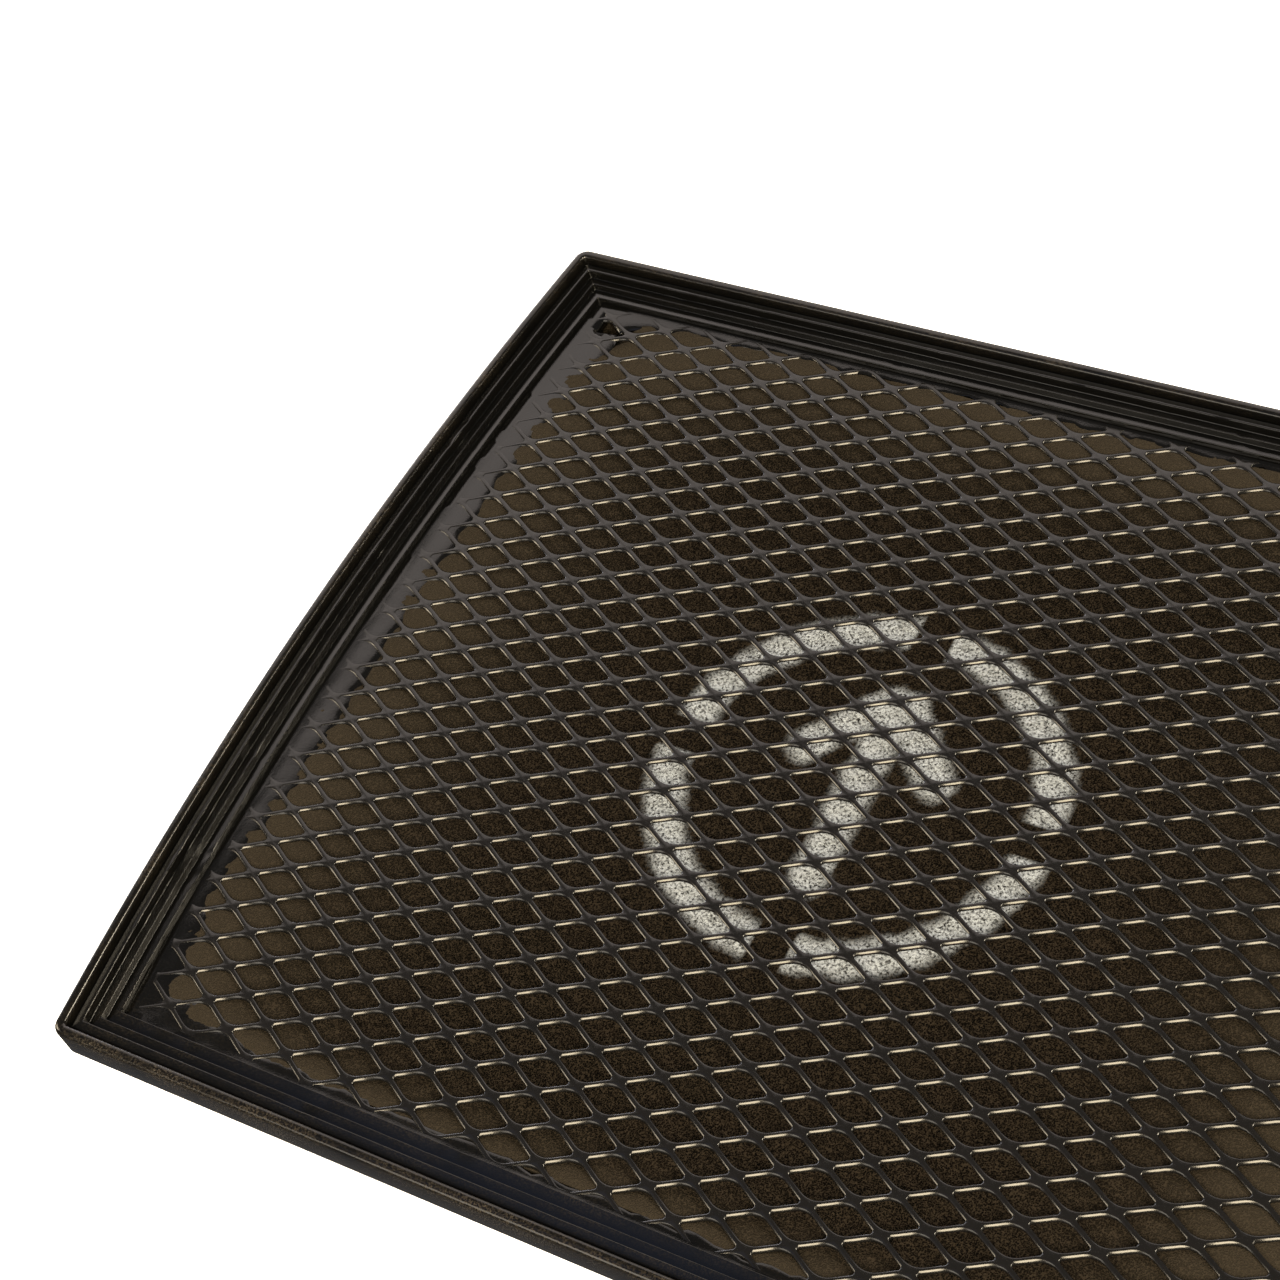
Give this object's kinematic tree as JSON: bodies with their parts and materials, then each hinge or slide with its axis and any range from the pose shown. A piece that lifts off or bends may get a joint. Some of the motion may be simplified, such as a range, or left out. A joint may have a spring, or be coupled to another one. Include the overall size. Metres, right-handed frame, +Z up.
{
  "type": "panel air filter",
  "caption": "Flat rectangular panel air filter: soft moulded sealing rim with ribbed steps round an expanded-metal support mesh over layered foam.",
  "frame": {"origin": "middle of the underside, on the surface that the filter lies on", "axes": "+X along the longer side, +Y along the shorter side, +Z up, out of the meshed clean side"},
  "size_m": [0.22, 0.1896, 0.021],
  "materials": {
    "frame_rubber": "satin moulded polyurethane, slightly glossy on the beads",
    "mesh_coating": "satin black epoxy coat on flattened expanded steel",
    "foam_fine": "matt fine-cell polyurethane foam, brown-black, with a soft grey sprayed ring mark",
    "foam_medium": "matt medium-cell polyurethane foam",
    "foam_coarse": "matt open-cell coarse polyurethane foam"
  },
  "bodies": {
    "root": {"sealing_frame": "frame_rubber", "support_mesh": "mesh_coating", "foam_fine": "foam_fine", "foam_medium": "foam_medium", "foam_coarse": "foam_coarse"}
  },
  "joints": []
}
